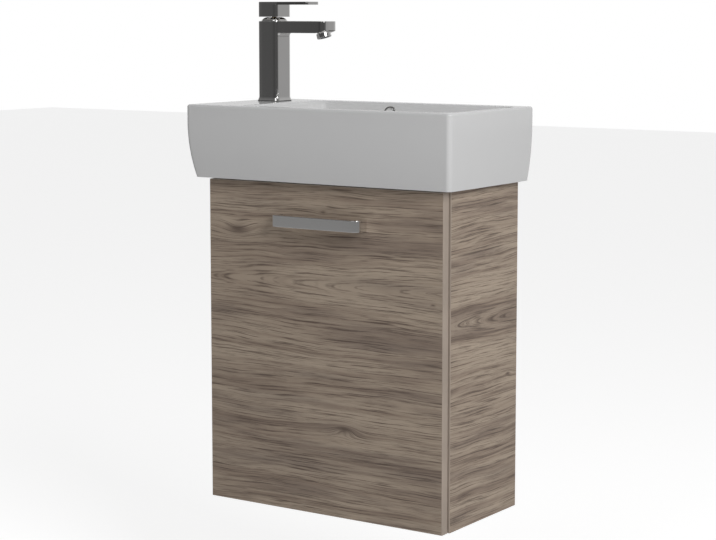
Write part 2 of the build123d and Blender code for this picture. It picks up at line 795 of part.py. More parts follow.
def hollow_tools():
    """Spaces under the basin: the sole's opening, and the taller ones under the deck and behind the bowl."""
    opening_x = basin_width / 2 - side_taper - sole_width
    opening_front = -basin_depth + front_taper + sole_width + 6.0
    roof = waste_floor_z - ceramic
    mouth = block(-opening_x, opening_x, opening_front, -ceramic, sole_z - cut, min(roof, sole_z + sole_thickness))
    side_wall = ceramic + side_taper / 2
    under_deck = rounded_block(-basin_width / 2 + side_wall, bowl_left - ceramic, -basin_depth + ceramic + front_taper / 2, -ceramic,
                               sole_z + sole_thickness - 0.5, rim_z - deck_thickness, corner_radius)
    behind_top = rim_z - rear_space_below_rim
    behind_front = wall_y(rear_space_below_rim) + ceramic
    behind = block(bowl_left - ceramic - cut, basin_width / 2 - side_wall, behind_front, -ceramic,
                   sole_z + sole_thickness - 0.5, behind_top)
    keep_boss = upright(waste_x, waste_y, sole_z - 2 * cut, rim_z, waste_boss_radius)
    keep_duct = block(waste_x - duct_width / 2 - duct_wall, waste_x + duct_width / 2 + duct_wall,
                      waste_y, 0, sole_z - 2 * cut, rim_z)
    return mouth + under_deck + behind - keep_boss - keep_duct


def overflow_tools():
    """Overflow hole, its channel down the rear wall, and the duct under the floor to the waste."""
    hole = rod(along_overflow(4.0), along_overflow(-14.0), overflow_radius - 2.5)
    channel_front = overflow_y + 9.0
    channel = block(waste_x - duct_width / 2, waste_x + duct_width / 2, channel_front, duct_rear,
                    duct_low, overflow_z + 8.0)
    duct = block(waste_x - duct_width / 2, waste_x + duct_width / 2, waste_y + waste_hole_radius - 2.0, duct_rear,
                 duct_low, duct_high)
    return [hole, channel, duct]


def make_basin():
    """The glazed ceramic basin in one piece."""
    basin = basin_body() - bowl_tool()
    basin -= hollow_tools()
    basin -= overflow_tools()
    basin -= upright(waste_x, waste_y, sole_z - cut, rim_z, waste_hole_radius)
    basin -= upright(waste_x, waste_y, waste_floor_z - flange_thickness - 1.5, rim_z, flange_radius + 0.4)
    basin -= upright(tap_x, tap_y, rim_z - deck_thickness - cut, rim_z + cut, tap_hole_radius)
    for x in (-wall_bolt_spacing / 2, wall_bolt_spacing / 2):
        basin -= rod((x, -ceramic - cut, 0), (x, cut, 0), wall_bolt_hole_radius)
    save("basin", basin)


def make_overflow_ring():
    """Chrome ring pushed into the overflow hole."""
    collar = rod(along_overflow(0.0), along_overflow(2.2), overflow_radius)
    stem = rod(along_overflow(-8.0), along_overflow(2.2), overflow_radius - 2.5 - running_gap)
    bore = rod(along_overflow(-9.0), along_overflow(3.0), overflow_bore)
    ring = collar + stem - bore
    save("overflow_ring", ring)


# Waste

flange_top = waste_floor_z + 0.2
flange_bottom = flange_top - flange_thickness
recess_z = waste_floor_z - flange_thickness - 1.5
plug_stem_radius = 4.0
guide_top = sole_z - 6.0
guide_bottom = guide_top - 12.0


def make_waste():
    """Push-open waste: flange with its tube, seals, back nut, stem guide and sprung plug."""
    flange = sleeve(waste_x, waste_y, flange_bottom, flange_top, flange_radius, waste_tube_bore)
    tube = sleeve(waste_x, waste_y, waste_tube_end, flange_bottom, waste_tube_radius, waste_tube_bore)
    body = flange + tube
    body -= block(waste_x - 9.0, waste_x + 9.0, waste_y - 2 * waste_tube_radius, waste_y + 2 * waste_tube_radius,
                  duct_low, duct_high)
    save("waste_body", body)
    upper_seal = sleeve(waste_x, waste_y, recess_z, flange_bottom, flange_radius - 2.0,
                        waste_tube_radius + running_gap)
    nut_top = sole_z - waste_seal_thickness
    nut_bottom = nut_top - waste_nut_height
    lower_seal = sleeve(waste_x, waste_y, nut_top, sole_z, waste_seal_radius, waste_tube_radius + running_gap)
    save("waste_seals", upper_seal, lower_seal)
    nut = hexagon(waste_x, waste_y, nut_bottom, nut_top, waste_nut_across)
    nut -= upright(waste_x, waste_y, nut_bottom - cut, nut_top + cut, waste_tube_radius + running_gap)
    save("waste_back_nut", nut)
    guide = sleeve(waste_x, waste_y, guide_bottom, guide_top, waste_tube_bore - running_gap, waste_tube_bore - 2.0)
    guide += sleeve(waste_x, waste_y, guide_bottom, guide_top, plug_stem_radius + 2.5, plug_stem_radius + running_gap)
    for angle in (45, 135, 225, 315):
        spoke = Rot(0, 0, angle) * block(plug_stem_radius + 1.5, waste_tube_bore - 1.0, -1.0, 1.0, guide_bottom, guide_top)
        guide += Pos(waste_x, waste_y, 0) * spoke
    save("plug_guide", guide)


def make_plug():
    """Domed plug on its stem, closed at rest, with a ring seal under the dome."""
    seal_height = 1.5
    low = flange_top + seal_height + 0.1
    dome_bulge = 2.0
    dome_sphere = (plug_radius ** 2 + dome_bulge ** 2) / (2 * dome_bulge)
    cap = upright(waste_x, waste_y, low, low + plug_thickness + dome_bulge, plug_radius)
    top_sphere = Pos(waste_x, waste_y, low + plug_thickness + dome_bulge - dome_sphere) * Sphere(dome_sphere)
    cap = cap & top_sphere
    stem = upright(waste_x, waste_y, guide_bottom - 8.0, low, plug_stem_radius)
    save("waste_plug", cap + stem)
    save("plug_seal", sleeve(waste_x, waste_y, low - seal_height, low, plug_radius - 3.0, plug_radius - 6.0))


# Bottle trap

def make_trap():
    """Plastic bottle trap from the waste tube to the wall."""
    x = waste_x
    y = waste_y
    nut_top = waste_tube_end + 12.0
    nut_bottom = nut_top - trap_nut_height
    nut = hexagon(x, y, nut_bottom, nut_top, 2 * trap_nut_radius)
    nut -= upright(x, y, waste_tube_end - 7.0, nut_top + cut, waste_tube_radius + running_gap)
    nut -= upright(x, y, nut_bottom - cut, nut_top, trap_tube_radius + 0.2)
    save("trap_inlet_nut", nut)
    bore = trap_tube_radius - trap_tube_wall
    washers = [sleeve(x, y, waste_tube_end - 4.0, waste_tube_end, waste_tube_radius - 0.3, bore)]
    body_low = trap_body_low
    body_high = body_low + trap_body_height
    cup_low = trap_cup_low
    tube_low = cup_low + 28.0
    collar = sleeve(x, y, waste_tube_end - 7.0, waste_tube_end - 4.0, waste_tube_radius - 0.3, bore)
    tube = sleeve(x, y, tube_low, waste_tube_end - 6.0, trap_tube_radius, bore)
    save("trap_inlet_tube", collar + tube)
    body = upright(x, y, body_low, body_high, trap_body_radius)
    neck_high = body_high + 12.0
    body += upright(x, y, body_high - cut, neck_high, trap_tube_radius + 4.0)
    stub_end = y + trap_body_radius + 20.0
    body += rod((x, y, outlet_z), (x, stub_end, outlet_z), trap_tube_radius + 3.0)
    body -= upright(x, y, body_low - cut, body_high - trap_wall, trap_body_radius - trap_wall)
    body -= upright(x, y, body_low, neck_high + cut, trap_tube_radius + running_gap)
    body -= rod((x, y, outlet_z), (x, stub_end + cut, outlet_z), trap_tube_radius + running_gap)
    save("trap_body", body)
    slide_nut = hexagon(x, y, neck_high - 8.0, neck_high + 10.0, 2 * trap_tube_radius + 16.0)
    slide_nut -= upright(x, y, neck_high - 9.0, neck_high + 4.0, trap_tube_radius + 4.0 + running_gap)
    slide_nut -= upright(x, y, neck_high - 9.0, neck_high + 11.0, trap_tube_radius + 0.2)
    save("trap_slide_nut", slide_nut)
    washers.append(sleeve(x, y, neck_high, neck_high + 3.5, trap_tube_radius + 3.5,
                          trap_tube_radius + running_gap))
    cup_high = body_low + trap_cup_grip
    cup = upright(x, y, cup_low, cup_high, trap_cup_radius)
    cup = fillet(cup.edges().group_by(Axis.Z)[0], 10.0)
    cup -= upright(x, y, body_low, cup_high + cut, trap_body_radius + running_gap)
    cup -= upright(x, y, cup_low + trap_wall, body_low, trap_cup_radius - 2 * trap_wall)
    for angle in range(0, 360, 30):
        cup += Pos(x, y, 0) * (Rot(0, 0, angle) * block(trap_cup_radius - 0.5, trap_cup_radius + 1.2, -2.0, 2.0,
                                                        cup_high - 22.0, cup_high - 2.0))
    save("trap_cup", cup)
    outlet_nut = Plane(origin=(x, stub_end - 9.0, outlet_z), z_dir=(0, 1, 0)) * RegularPolygon(
        trap_tube_radius + 7.0, 6, major_radius=False)
    outlet_nut = extrude(outlet_nut, 18.0)
    outlet_nut -= rod((x, stub_end - 10.0, outlet_z), (x, stub_end + 4.0, outlet_z),
                      trap_tube_radius + 3.0 + running_gap)
    outlet_nut -= rod((x, stub_end, outlet_z), (x, stub_end + 10.0, outlet_z), trap_tube_radius + 0.2)
    save("trap_outlet_nut", outlet_nut)
    washers.append(pipe((x, stub_end, outlet_z), (x, stub_end + 3.5, outlet_z),
                        trap_tube_radius + 2.8, trap_tube_radius + running_gap))
    save("trap_washers", *washers)
    outlet = pipe((x, y + trap_body_radius - 1.0, outlet_z), (x, 0, outlet_z), trap_tube_radius, bore)
    outlet += pipe((x, -trap_outlet_insert - 2 * trap_bead, outlet_z), (x, -trap_outlet_insert, outlet_z),
                   trap_tube_radius + trap_bead, bore)
    save("trap_outlet_pipe", outlet)


# Mixer tap

jet_down = Vector(sin(radians(jet_angle)), 0, -cos(radians(jet_angle)))
spout_tip = tap_x + spout_reach
spout_low = rim_z + spout_top - spout_height
aerator_x = spout_tip - aerator_from_tip


def along_jet(distance):
    """Point on the aerator's axis, measured down from where it leaves the spout."""
    return (aerator_x + jet_down.X * distance, tap_y, spout_low + jet_down.Z * distance)


def square_face(size, z, radius):
    """Level square round the tap's axis."""
    half = size / 2
    return rounded_face(tap_x - half, tap_x + half, tap_y - half, tap_y + half, z, radius)


def hose_port_places():
    """Plan place of the two water inlets in the tap's foot."""
    return [(tap_x + 5.0, tap_y + side * hose_port_spacing / 2) for side in (-1, 1)]


stud_place = (tap_x - 10.0, tap_y)


def tap_outer_form():
    """Square column, flared foot and flat spout, cast in one."""
    column = extrude(square_face(tap_body_size, body_bottom, tap_corner), body_top - body_bottom)
    top_edges = column.edges().group_by(Axis.Z)[-1]
    column = fillet(top_edges, 1.2)
    flare = loft([square_face(tap_flare_size, body_bottom, tap_corner + 2.0),
                  square_face(tap_body_size, body_bottom + tap_flare_height, tap_corner)], ruled=True)
    half = spout_width / 2
    spout = block(tap_x, spout_tip, tap_y - half, tap_y + half, spout_low, body_top)
    tip_edges = spout.edges().filter_by(Axis.Z).sort_by(Axis.X)[-2:]
    spout = fillet(tip_edges, spout_tip_radius)
    long_edges = spout.edges().group_by(Axis.Z)[-1].sort_by(Axis.X)[1:]
    spout = fillet(long_edges, 1.0)
    bevel_base = along_jet(0.0)
    bevel = Plane(origin=bevel_base, z_dir=jet_down) * Pos(0, 0, tap_body_size / 2)
    bevel *= Box(2 * tap_body_size, 2 * tap_body_size, tap_body_size)
    keep = block(tap_x - tap_body_size, aerator_x, tap_y - tap_body_size, tap_y + tap_body_size,
                 spout_low - 50.0, body_top)
    spout -= bevel - keep
    corner_x = tap_x + tap_body_size / 2
    gusset = block(corner_x - 2.0, corner_x + spout_fillet, tap_y - half + 1.0, tap_y + half - 1.0,
                   spout_low - spout_fillet, spout_low + 1.0)
    gusset -= rod((corner_x + spout_fillet, tap_y - tap_body_size, spout_low - spout_fillet),
                  (corner_x + spout_fillet, tap_y + tap_body_size, spout_low - spout_fillet), spout_fillet)
    return column + flare + spout + gusset


def make_tap_body():
    """The cast body with its cartridge seat, water way, aerator seat and foot ports."""
    body = tap_outer_form()
    seat_low = body_top - cartridge_below_top - cartridge_height
    body -= upright(tap_x, tap_y, seat_low, body_top + cut, cartridge_radius)
    body -= upright(tap_x, tap_y, body_bottom + 26.0, seat_low + cut, 12.0)
    way_z = (body_top + spout_low) / 2
    body -= rod((tap_x, tap_y, way_z), (aerator_x + 2.0, tap_y, way_z), spout_bore_radius)
    body -= rod(along_jet(cut), along_jet(-7.0), aerator_radius - 2.0 + running_gap)
    body -= rod(along_jet(2 * cut), along_jet(0.0), aerator_radius + 0.1)
    for place in hose_port_places():
        body -= upright(*place, body_bottom - cut, body_bottom + hose_port_depth, hose_port_radius)
        body -= upright(*place, body_bottom + hose_port_depth - cut, body_bottom + 27.0, 2.5)
    body -= upright(*stud_place, body_bottom - cut, body_bottom + 11.0, stud_radius + running_gap)
    save("tap_body", body)


def make_aerator():
    """Knurled chrome housing with the mesh insert that shapes the jet."""
    neck = rod(along_jet(-6.0), along_jet(1.0), aerator_radius - 2.0)
    sleeve_end = aerator_below_spout
    housing = neck + rod(along_jet(0.1), along_jet(sleeve_end), aerator_radius)
    housing -= rod(along_jet(-7.0), along_jet(sleeve_end + cut), aerator_radius - 3.5)
    save("aerator_housing", housing)
    insert = rod(along_jet(-4.0), along_jet(sleeve_end - 1.0), aerator_radius - 3.5 - running_gap)
    pitch = 3.2
    for row in range(-2, 3):
        for column in range(-2, 3):
            offset_x = row * pitch
            offset_y = column * pitch
            if hypot(offset_x, offset_y) < aerator_radius - 5.0:
                plane = Plane(origin=along_jet(sleeve_end), x_dir=(0, 1, 0), z_dir=jet_down)
                insert -= plane * Pos(offset_x, offset_y, -6.0) * Box(2.3, 2.3, 14.0)
    save("aerator_insert", insert)


def make_cartridge():
    """Ceramic cartridge, its brass nut and the dome that covers the gap under the lever."""
    low = body_top - cartridge_below_top - cartridge_height
    high = body_top - cartridge_below_top
    cartridge = upright(tap_x, tap_y, low, high, cartridge_radius - running_gap)
    for place in hose_port_places():
        cartridge -= upright(*place, low - cut, low + 12.0, 2.5)
    cartridge -= upright(tap_x, tap_y, high - 6.0, high + cut, 10.5)
    save("tap_cartridge", cartridge)
    save("cartridge_nut", sleeve(tap_x, tap_y, high, high + cartridge_nut_height, cartridge_radius - running_gap, 13.0))
    base = high + cartridge_nut_height
    ball = Pos(tap_x, tap_y, pivot_z) * Sphere(dome_radius)
    dome = ball & block(tap_x - 30.0, tap_x + 30.0, tap_y - 30.0, tap_y + 30.0, body_top, body_top + 30.0)
    dome += upright(tap_x, tap_y, base, body_top, dome_radius - 0.8)
    dome -= Pos(tap_x, tap_y, pivot_z) * Sphere(dome_radius - dome_wall)
    dome -= upright(tap_x, tap_y, base - cut, body_top + 30.0, dome_hole_radius)
    dome -= upright(tap_x, tap_y, base - cut, body_top, dome_radius - dome_wall - 1.2)
    save("tap_dome", dome)


turn_ring_radius = 12.0
turn_ring_low = body_top - cartridge_below_top - 5.5
turn_ring_high = body_top - 1.5
spindle_low = pivot_z - 4.5
socket_top = block_top - 2.5


def make_lever():
    """Turning ring, spindle on its cross pin, and the lever block with its flat lever."""
    ring = upright(tap_x, tap_y, body_top - cartridge_below_top + 0.5, turn_ring_high, turn_ring_radius)
    ring += upright(tap_x, tap_y, turn_ring_low, body_top - cartridge_below_top + 1.0, 10.0)
    lean = tan(radians(lever_lift))
    slot_top = turn_ring_high - pivot_z
    slot_back = tap_x - spindle_radius / cos(radians(lever_lift)) - slot_top * lean - 1.0
    ring -= block(slot_back, tap_x + spindle_radius + 3.0, tap_y - spindle_radius - 0.1, tap_y + spindle_radius + 0.1,
                  spindle_low - 1.0, turn_ring_high + cut)
    ring -= rod((tap_x, tap_y - 9.0, pivot_z), (tap_x, tap_y + 9.0, pivot_z), 1.5 + running_gap)
    save("tap_turn_ring", ring)
    spindle = upright(tap_x, tap_y, spindle_low, socket_top, spindle_radius)
    spindle += rod((tap_x, tap_y - 8.8, pivot_z), (tap_x, tap_y + 8.8, pivot_z), 1.5)
    save("tap_spindle", spindle)
    lever = extrude(square_face(tap_body_size, block_bottom, tap_corner), lever_block_height + 1.0)
    cavity = tap_body_size - 2 * lever_block_wall
    lever -= extrude(square_face(cavity, block_bottom - cut, tap_corner - 1.5), lever_cavity + cut)
    half = tap_body_size / 2
    tip_half = lever_tip_width / 2
    tip = tap_x + lever_reach
    outline = Polygon((tap_x - half, tap_y - half), (tap_x + half, tap_y - half), (tip, tap_y - tip_half),
                      (tip, tap_y + tip_half), (tap_x + half, tap_y + half), (tap_x - half, tap_y + half), align=None)
    corners = outline.vertices().sort_by(Axis.X)
    outline = fillet(corners[:2] + corners[-2:], tap_corner)
    plate = extrude(Pos(0, 0, block_top) * outline, lever_plate_thickness, dir=(0, 0, 1))
    plate = fillet(plate.edges().group_by(Axis.Z)[-1], 1.0)
    lever += plate
    lever -= upright(tap_x, tap_y, block_bottom, socket_top, spindle_radius + running_gap)
    screw_z = (block_bottom + lever_cavity + socket_top) / 2
    lever -= rod((tap_x - half - cut, tap_y, screw_z), (tap_x, tap_y, screw_z), 2.5)
    lever -= rod((tap_x - half - cut, tap_y, screw_z), (tap_x - half + 1.5, tap_y, screw_z), 3.5)
    save("tap_lever", lever)
    save("lever_screw", rod((tap_x - half + 4.0, tap_y, screw_z), (tap_x - spindle_radius, tap_y, screw_z),
                            2.5 - running_gap))
    save("lever_screw_cover", rod((tap_x - half, tap_y, screw_z), (tap_x - half + 1.5, tap_y, screw_z),
                                  3.5 - running_gap))


def make_tap_fixing():
    """Foot seal above the deck; stud, horseshoe seal, horseshoe washer and nut below it."""
    seal = extrude(square_face(tap_flare_size - 1.0, rim_z, tap_corner + 1.5), tap_seal_thickness)
    seal -= upright(tap_x, tap_y, rim_z - cut, body_bottom + cut, tap_hole_radius - 1.5)
    save("tap_foot_seal", seal)
    under = rim_z - deck_thickness
    stud_low = rim_z - stud_below_deck
    save("tap_stud", upright(*stud_place, stud_low, body_bottom + 10.0, stud_radius))
    opening = block(tap_x - 5.0, tap_x + horseshoe_radius + cut, tap_y - 12.0, tap_y + 12.0, under - 20.0, rim_z)
    stud_hole = upright(*stud_place, under - 20.0, rim_z, stud_radius + 0.1)
    rubber = upright(tap_x, tap_y, under - 3.0, under, horseshoe_radius) - opening - stud_hole
    save("horseshoe_seal", rubber)
    steel = upright(tap_x, tap_y, under - 5.0, under - 3.0, horseshoe_radius) - opening - stud_hole
    save("horseshoe_washer", steel)
    nut = hexagon(*stud_place, under - 12.0, under - 5.0, 12.0)
    nut -= upright(*stud_place, under - 13.0, under - 4.0, stud_radius + running_gap)
    save("tap_stud_nut", nut)


# Build every sub-part

make_side(-1, "left_side_panel")
make_side(1, "right_side_panel")
make_bottom_panel()
make_front_rail()
make_rear_rail()
make_back_panel()
make_shelf()
make_carcass_edging()
make_joint_hardware()
make_sealing_strip()
make_door()
make_handle()
make_bumpers()
make_hinges()
make_basin()
make_overflow_ring()
make_waste()
make_plug()
make_trap()
make_tap_body()
make_aerator()
make_cartridge()
make_lever()
make_tap_fixing()
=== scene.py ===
from math import cos, pi, radians, sin, tan

import bpy
import numpy as np
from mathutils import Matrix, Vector


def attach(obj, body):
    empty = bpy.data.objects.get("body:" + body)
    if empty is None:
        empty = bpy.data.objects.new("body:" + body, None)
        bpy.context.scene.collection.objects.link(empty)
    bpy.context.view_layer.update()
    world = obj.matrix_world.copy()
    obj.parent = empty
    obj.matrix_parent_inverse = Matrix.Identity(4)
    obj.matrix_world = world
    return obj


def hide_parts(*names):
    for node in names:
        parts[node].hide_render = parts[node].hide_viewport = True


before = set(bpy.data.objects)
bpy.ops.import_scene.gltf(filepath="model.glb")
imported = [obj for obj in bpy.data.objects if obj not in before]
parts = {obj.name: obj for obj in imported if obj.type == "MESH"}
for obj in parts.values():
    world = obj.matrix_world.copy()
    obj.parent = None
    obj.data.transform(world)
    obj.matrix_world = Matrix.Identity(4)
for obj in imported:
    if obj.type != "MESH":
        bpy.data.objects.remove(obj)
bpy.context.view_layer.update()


# Camera
# It stands to the right of the unit and a little above the basin, as in the photograph.
# Its long lens keeps the uprights nearly parallel.

camera_tip = 0.1132
camera_turn = 0.5926

camera = bpy.data.objects.new("camera", bpy.data.cameras.new("camera"))
camera.location = (1.7032, -2.6514, 0.2389)
camera.rotation_euler = (pi / 2 - camera_tip, 0.0, camera_turn)
camera.data.lens = 95.893
camera.data.sensor_width = 36.0
camera.data.shift_y = -0.06
bpy.context.scene.collection.objects.link(camera)
bpy.context.scene.camera = camera
bpy.context.scene.view_settings.view_transform = "Standard"


# Studio
# A pale floor below the hanging unit, a room that is bright behind it and darker in front,
# and two large soft lamps.

class Value:
    """A number that varies over a surface. Arithmetic on it adds the nodes that work it out."""

    def __init__(self, nodes, socket):
        self.nodes = nodes
        self.socket = socket

    def maths(self, operation, *values):
        return self.nodes.add("ShaderNodeMath", {"operation": operation}, dict(enumerate(values)))

    def __add__(self, other):
        return self.maths("ADD", self, other)

    def __sub__(self, other):
        return self.maths("SUBTRACT", self, other)

    def __rsub__(self, other):
        return self.maths("SUBTRACT", other, self)

    def __mul__(self, other):
        return self.maths("MULTIPLY", self, other)

    def __truediv__(self, other):
        return self.maths("DIVIDE", self, other)

    def __neg__(self):
        return self.maths("MULTIPLY", self, -1.0)

    def __pow__(self, other):
        return self.maths("POWER", self, other)

    def root(self):
        return self.maths("SQRT", self)

    def exp(self):
        return self.maths("EXPONENT", self)

    def wave(self):
        return self.maths("SINE", self)

    def step(self, start, end, low=0.0, high=1.0):
        """Smooth climb from low to high while this goes from start to end."""
        sockets = {"Value": self, "From Min": start, "From Max": end, "To Min": low, "To Max": high}
        return self.nodes.add("ShaderNodeMapRange", {"interpolation_type": "SMOOTHSTEP"}, sockets)


class Nodes:
    """The nodes of one material, or of the room round the object."""

    def __init__(self, owner):
        owner.use_nodes = True
        self.tree = owner.node_tree

    def add(self, kind, settings, sockets, output=0):
        """Adds one node: its settings first, then the value or link of each socket."""
        node = self.tree.nodes.new(kind)
        for key, value in settings.items():
            setattr(node, key, value)
        for key, value in sockets.items():
            if isinstance(value, Value):
                self.tree.links.new(value.socket, node.inputs[key])
            else:
                node.inputs[key].default_value = value
        if output is None:
            return [Value(self, socket) for socket in node.outputs]
        return Value(self, node.outputs[output])

    def place(self):
        """Place on the object, as a vector and as its X, Y and Z."""
        vector = self.add("ShaderNodeTexCoord", {}, {}, "Object")
        return vector, *self.add("ShaderNodeSeparateXYZ", {}, {0: vector}, None)

    def vector(self, x, y, z):
        return self.add("ShaderNodeCombineXYZ", {}, {0: x, 1: y, 2: z})

    def noise(self, vector, scale, detail=2.0, roughness=0.5):
        """Cloudy pattern from 0 to 1, about one cloud for each 1 / scale metres."""
        sockets = {"Vector": vector, "Scale": scale, "Detail": detail, "Roughness": roughness}
        return self.add("ShaderNodeTexNoise", {}, sockets)

    def blend(self, share, first, second):
        """Colour that goes from the first to the second as share goes from 0 to 1."""
        sockets = {0: share, 6: first, 7: second}
        return self.add("ShaderNodeMix", {"data_type": "RGBA", "clamp_factor": True}, sockets, 2)

    def bump(self, height, depth):
        """Surface normal for a relief that is depth metres from its lowest to its highest."""
        return self.add("ShaderNodeBump", {}, {"Height": height, "Distance": depth, "Strength": 1.0})


room_front = 0.08
room_behind = 0.36
room_above = 0.14
room_paper = 0.7
stripe_turns = 16.0
stripe_strength = 0.035
backdrop_direction = (-0.56, 0.83, 0.0)
white = (1.0, 1.0, 1.0, 1.0)
black = (0.0, 0.0, 0.0, 1.0)

room = Nodes(bpy.data.worlds.new("room"))
bpy.context.scene.world = bpy.data.worlds["room"]
direction = room.add("ShaderNodeTexCoord", {}, {}, "Generated")
sideways, behind, above = room.add("ShaderNodeSeparateXYZ", {}, {0: direction}, None)
brightness = behind.step(-0.2, 0.7, room_front, room_behind) + above.step(0.15, 0.95, 0.0, room_above)
brightness = brightness + (sideways * stripe_turns).wave() * stripe_strength
towards = {0: direction, 1: backdrop_direction}
paper = room.add("ShaderNodeVectorMath", {"operation": "DOT_PRODUCT"}, towards, "Value").step(0.35, 0.65)
brightness = brightness * (1.0 - paper) + paper * room_paper
ray = room.add("ShaderNodeLightPath", {}, {}, "Is Camera Ray")
strength = brightness * (1.0 - ray) + ray
backdrop = room.tree.nodes["Background"]
backdrop.inputs["Color"].default_value = white
room.tree.links.new(strength.socket, backdrop.inputs["Strength"])


def lamp(name, place, aim, size, power):
    """A square soft lamp that shines from its place towards its aim."""
    light = bpy.data.lights.new(name, "AREA")
    light.size = size
    light.energy = power
    holder = bpy.data.objects.new(name, light)
    holder.location = place
    holder.rotation_euler = (Vector(aim) - Vector(place)).to_track_quat("-Z", "Y").to_euler()
    bpy.context.scene.collection.objects.link(holder)


lamp_aim = (0.0, -0.1, -0.2)
lamp("key_lamp", (2.6, -1.5, 1.3), lamp_aim, 1.4, 48.0)
lamp("front_lamp", (-0.2, -2.3, 2.4), lamp_aim, 1.6, 12.0)

floor_level = -0.762
floor_reach = 12.0
floor_grey = 0.72
floor_glow = 0.62

floor = bpy.data.objects.new("floor", bpy.data.meshes.new("floor"))
corners = [(x * floor_reach, y * floor_reach, floor_level) for x, y in ((-1, -1), (1, -1), (1, 1), (-1, 1))]
floor.data.from_pydata(corners, [], [(0, 1, 2, 3)])
bpy.context.scene.collection.objects.link(floor)
paint = bpy.data.materials.new("floor_paint")
nodes = Nodes(paint)
shader = nodes.tree.nodes["Principled BSDF"]
shader.inputs["Base Color"].default_value = (floor_grey, floor_grey, floor_grey, 1.0)
shader.inputs["Roughness"].default_value = 0.9
ray = nodes.add("ShaderNodeLightPath", {}, {}, "Is Camera Ray")
nodes.tree.links.new(nodes.blend(ray, black, white).socket, shader.inputs["Emission Color"])
shader.inputs["Emission Strength"].default_value = floor_glow
floor.data.materials.append(paint)


# Cabinet boards
# Chipboard faced with grey-brown oak melamine, its grain lying level on every board.
# The outer edges carry a paler plastic band, ironed on.

oak_dark = (0.125, 0.088, 0.068, 1.0)
oak_smoke = (0.185, 0.145, 0.125, 1.0)
oak_middle = (0.36, 0.275, 0.212, 1.0)
oak_light = (0.53, 0.43, 0.335, 1.0)

# Waves a metre along the grain, across it and into the board.
slow_grid = (3.0, 8.0, 8.0)
sway_grid = (11.0, 30.0, 30.0)
stroke_grid = (11.0, 520.0, 60.0)
hair_grid = (30.0, 1100.0, 300.0)
band_grid = (2.5, 110.0, 20.0)
drift_grid = (3.5, 30.0, 6.0)
slow_bend = 0.030
sway_bend = 0.003
knot_length = 2.6
pore_depth = 0.00025


class Finish(Nodes):
    """A material whose shader takes plain values at once, and patterns when they are worked out."""

    def __init__(self, name, **plain):
        self.material = bpy.data.materials.new(name)
        super().__init__(self.material)
        self.shader = self.tree.nodes["Principled BSDF"]
        self.set(**plain)

    def set(self, **values):
        """Sets shader sockets, with an underscore for each space in their names."""
        for key, value in values.items():
            socket = self.shader.inputs[key.replace("_", " ").title().replace("Ior", "IOR")]
            if isinstance(value, Value):
                self.tree.links.new(value.socket, socket)
            else:
                socket.default_value = value


def wear(nodes, finish):
    """Gives CAD parts their finish."""
    for name in nodes:
        mesh = parts[name].data
        mesh.materials.clear()
        mesh.materials.append(finish.material)


def plain(name, colour, roughness, metallic=0.0, grain=900.0, depth=0.00003, spread=0.12):
    """A finish of one colour with a fine grain and slight cloudiness."""
    finish = Finish(name, metallic=metallic)
    vector = finish.place()[0]
    cloud = finish.noise(vector, 14.0, 3.0)
    fine = finish.noise(vector, grain, 2.0)
    darker = tuple(channel * (1.0 - spread) for channel in colour)
    shade = finish.blend(cloud.step(0.3, 0.7), (*colour, 1.0), (*darker, 1.0))
    finish.set(base_color=shade, roughness=fine.step(0.2, 0.8, roughness * 0.9, roughness * 1.1),
               normal=finish.bump(fine, depth))
    return finish


def oak(name, along, across, through, heart, knots=(), clouds=()):
    """Oak figure on a board. Growth lines close into arches round the heart, and part round each knot.

    Thin dark pores follow the lines in short strokes, over lighter and darker streaks and smoky clouds.
    """
    finish = Finish(name)
    place = finish.place()
    u, v, w = (place["xyz".index(axis) + 1] for axis in (along, across, through))

    def pattern(grid, side, detail, roughness=0.5):
        vector = finish.vector(u * grid[0], side * grid[1], w * grid[2])
        return finish.noise(vector, 1.0, detail, roughness)

    slow = pattern(slow_grid, v, 2.0)
    sway = pattern(sway_grid, v, 1.0)
    heart_u, heart_v, slant = heart
    height = v + (slow - 0.5) * slow_bend + (sway - 0.5) * sway_bend
    lines = ((height - heart_v) ** 2 + ((u - heart_u) * slant) ** 2).root()
    eyes = u * 0.0
    for knot_u, knot_v, radius, push in knots:
        spread = ((u - knot_u) / (radius * knot_length)) ** 2 + ((v - knot_v) / radius) ** 2
        lines = lines + (-spread).exp() * push
        eyes = eyes + (spread * -4.0).exp()
    smoke = u * 0.0
    for cloud_u, cloud_v, long, tall, weight in clouds:
        spread = ((u - cloud_u) / long) ** 2 + ((v - cloud_v) / tall) ** 2
        smoke = smoke + (-spread).exp() * weight
    strokes = pattern(stroke_grid, lines, 3.0, 0.65)
    hairs = pattern(hair_grid, lines, 2.0, 0.6)
    bands = pattern(band_grid, lines, 3.0, 0.6)
    drift = pattern(drift_grid, lines, 3.0, 0.6)
    shade = finish.blend((bands * 0.6 + drift * 0.4).step(0.36, 0.62), oak_middle, oak_light)
    smoke = (smoke + drift.step(0.52, 0.30) * 0.6) * strokes.step(0.25, 0.6, 1.0, 0.55)
    shade = finish.blend(smoke, shade, oak_smoke)
    shade = finish.blend(bands.step(0.42, 0.28) * 0.45, shade, oak_dark)
    shade = finish.blend(strokes.step(0.50, 0.33) * 0.85, shade, oak_dark)
    shade = finish.blend(hairs.step(0.46, 0.28) * 0.55, shade, oak_dark)
    shade = finish.blend(eyes * 0.8, shade, oak_dark)
    relief = strokes * 0.6 + hairs * 0.4
    finish.set(base_color=shade, roughness=strokes.step(0.3, 0.7, 0.62, 0.5),
               normal=finish.bump(relief, pore_depth))
    return finish


